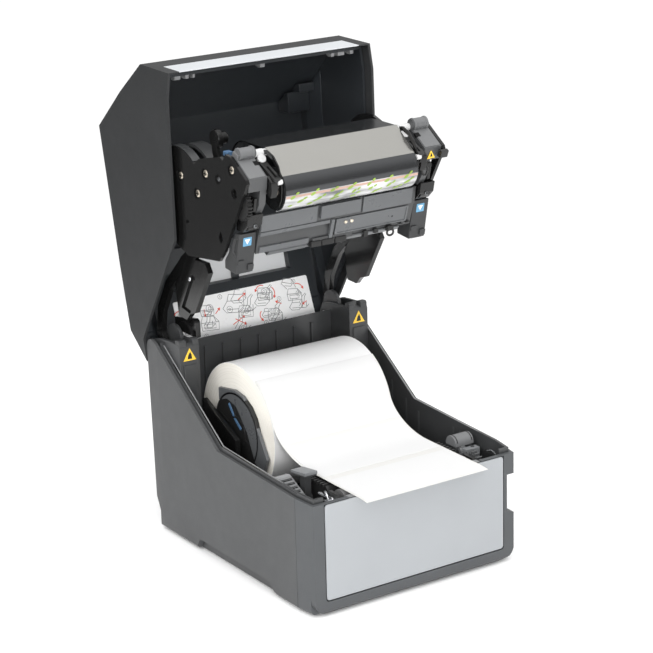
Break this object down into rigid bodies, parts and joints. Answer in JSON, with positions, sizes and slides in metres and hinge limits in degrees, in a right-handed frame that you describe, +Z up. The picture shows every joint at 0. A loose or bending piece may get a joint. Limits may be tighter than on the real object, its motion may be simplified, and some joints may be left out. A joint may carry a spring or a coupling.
{
  "type": "desktop label printer",
  "caption": "Desktop label printer with its lid and ribbon unit swung open over a loaded label roll.",
  "frame": {"origin": "middle of the bounding box in x and y, on the plane the feet stand on", "axes": "+Z up, the label leaves towards -Y, +X is the printer's right seen from behind, which is the side with the front USB bay"},
  "size_m": [0.178, 0.289, 0.3572],
  "materials": {
    "charcoal_plastic": "matte, fine texture",
    "grey_plastic": "matte",
    "bezel_plastic": "satin",
    "silver_plastic": "satin",
    "black_gloss": "glossy",
    "black_satin": "satin",
    "steel": "brushed",
    "white_plastic": "satin",
    "dark_rubber": "matte",
    "paper": "matte",
    "card": "matte",
    "clear_plastic": "clear, glossy",
    "ribbon": "glossy film",
    "grey_metal": "satin"
  },
  "bodies": {
    "base": {"base_shell": "charcoal_plastic", "front_cover": "bezel_plastic", "front_panel": "silver_plastic", "media_tray": "black_gloss", "web_guide": "black_satin", "label_web": "paper", "front_usb_socket": "steel", "rear_port_panel": "grey_metal", "power_inlet": "black_satin", "usb_socket": "steel", "hinge_tower_left": "black_satin", "hinge_tower_right": "black_satin", "hinge_pin_left": "steel", "hinge_pin_right": "steel", "foot_front_left": "dark_rubber", "foot_front_right": "dark_rubber", "foot_rear_left": "dark_rubber", "foot_rear_right": "dark_rubber", "platen_bracket_left": "black_satin", "platen_bracket_right": "black_satin"},
    "platen": {"platen_roller": "dark_rubber", "platen_shaft": "steel", "platen_gear": "white_plastic"},
    "drive_pinion": {"motor_gear": "white_plastic"},
    "roll": {"label_roll": "paper", "roll_core": "card"},
    "guide_left": {"media_guide_left": "black_satin"},
    "guide_right": {"media_guide_right": "black_satin"},
    "guide_lock": {"guide_lock_lever": "grey_plastic"},
    "release": {"release_lever": "grey_plastic"},
    "power_rocker": {"power_switch": "black_satin"},
    "lid": {"lid_shell": "charcoal_plastic", "lid_liner": "black_gloss", "lid_window": "clear_plastic", "instruction_sheet": "paper", "front_strip": "silver_plastic", "display_panel": "black_gloss"},
    "feed": {"feed_key": "grey_plastic"},
    "cancel": {"cancel_key": "grey_plastic"},
    "arms": {"arm_left": "black_gloss", "arm_right": "black_gloss", "unit_pin_left": "steel", "unit_pin_right": "steel"},
    "print_unit": {"side_plate_left": "black_gloss", "side_plate_right": "black_gloss", "bearing_block_left": "black_satin", "bearing_block_right": "black_satin", "latch_block_left": "black_satin", "latch_block_right": "black_satin", "spool_lever_left": "black_satin", "spool_lever_right": "black_satin", "spool_cover": "black_satin", "head_carriage": "grey_plastic", "print_head": "grey_metal", "guide_rod": "steel", "ribbon_film": "ribbon", "grip_tab": "black_satin"},
    "takeup": {"front_ribbon_spool": "ribbon"},
    "supply": {"rear_ribbon_spool": "ribbon"},
    "idler": {"ribbon_gear": "black_satin"}
  },
  "joints": [
    {"name": "lid_hinge", "type": "hinge", "parent": "base", "child": "lid", "pos_m": [0, 0.0835, 0.1402], "axis": [1, 0, 0], "range_deg": [0, 92.9]},
    {"name": "arms_swing", "type": "hinge", "parent": "base", "child": "arms", "pos_m": [0, 0.0835, 0.1402], "axis": [1, 0, 0], "range_deg": [0, 53.5]},
    {"name": "unit_swing", "type": "hinge", "parent": "arms", "child": "print_unit", "pos_m": [0, -0.037, 0.27625], "axis": [1, 0, 0], "range_deg": [-80.5, 0]},
    {"name": "supply_spin", "type": "hinge", "parent": "print_unit", "child": "supply", "pos_m": [0, -0.007, 0.293], "axis": [1, 0, 0], "continuous": true},
    {"name": "takeup_spin", "type": "hinge", "parent": "print_unit", "child": "takeup", "pos_m": [0, -0.044, 0.285], "axis": [1, 0, 0], "continuous": true},
    {"name": "idler_spin", "type": "hinge", "parent": "print_unit", "child": "idler", "pos_m": [-0.0793, -0.041, 0.2764], "axis": [1, 0, 0], "continuous": true},
    {"name": "platen_spin", "type": "hinge", "parent": "base", "child": "platen", "pos_m": [0, -0.114, 0.0758], "axis": [1, 0, 0], "continuous": true},
    {"name": "pinion_spin", "type": "hinge", "parent": "base", "child": "drive_pinion", "pos_m": [0.0628, -0.1, 0.0739], "axis": [1, 0, 0], "continuous": true},
    {"name": "roll_spin", "type": "hinge", "parent": "base", "child": "roll", "pos_m": [0, 0.0216, 0.089], "axis": [1, 0, 0], "continuous": true},
    {"name": "guide_left_slide", "type": "slide", "parent": "base", "child": "guide_left", "axis": [-1, 0, 0], "range_m": [0, 0.0045]},
    {"name": "guide_right_slide", "type": "slide", "parent": "base", "child": "guide_right", "axis": [1, 0, 0], "range_m": [0, 0.0045]},
    {"name": "guide_lock_tilt", "type": "hinge", "parent": "base", "child": "guide_lock", "pos_m": [-0.0615, -0.083, 0.07], "axis": [-1, 0, 0], "range_deg": [0, 10]},
    {"name": "release_tilt", "type": "hinge", "parent": "base", "child": "release", "pos_m": [0.0695, -0.09, 0.077], "axis": [-1, 0, 0], "range_deg": [0, 12]},
    {"name": "power_rock", "type": "hinge", "parent": "base", "child": "power_rocker", "pos_m": [0.0245, 0.0775, 0.052], "axis": [-1, 0, 0], "range_deg": [0, 6]},
    {"name": "feed_press", "type": "slide", "parent": "lid", "child": "feed", "axis": [0, -0.6603, -0.751], "range_m": [0, 0.001], "stiffness_N_per_m": 250},
    {"name": "cancel_press", "type": "slide", "parent": "lid", "child": "cancel", "axis": [0, -0.6603, -0.751], "range_m": [0, 0.001], "stiffness_N_per_m": 250}
  ],
  "couplings": [
    {"joint": "arms_swing", "follows": "lid_hinge", "ratio": 0.57526},
    {"joint": "unit_swing", "follows": "lid_hinge", "ratio": -0.86589},
    {"joint": "pinion_spin", "follows": "platen_spin", "ratio": -1.8},
    {"joint": "takeup_spin", "follows": "supply_spin", "ratio": 1.19},
    {"joint": "guide_right_slide", "follows": "guide_left_slide", "ratio": 1}
  ]
}
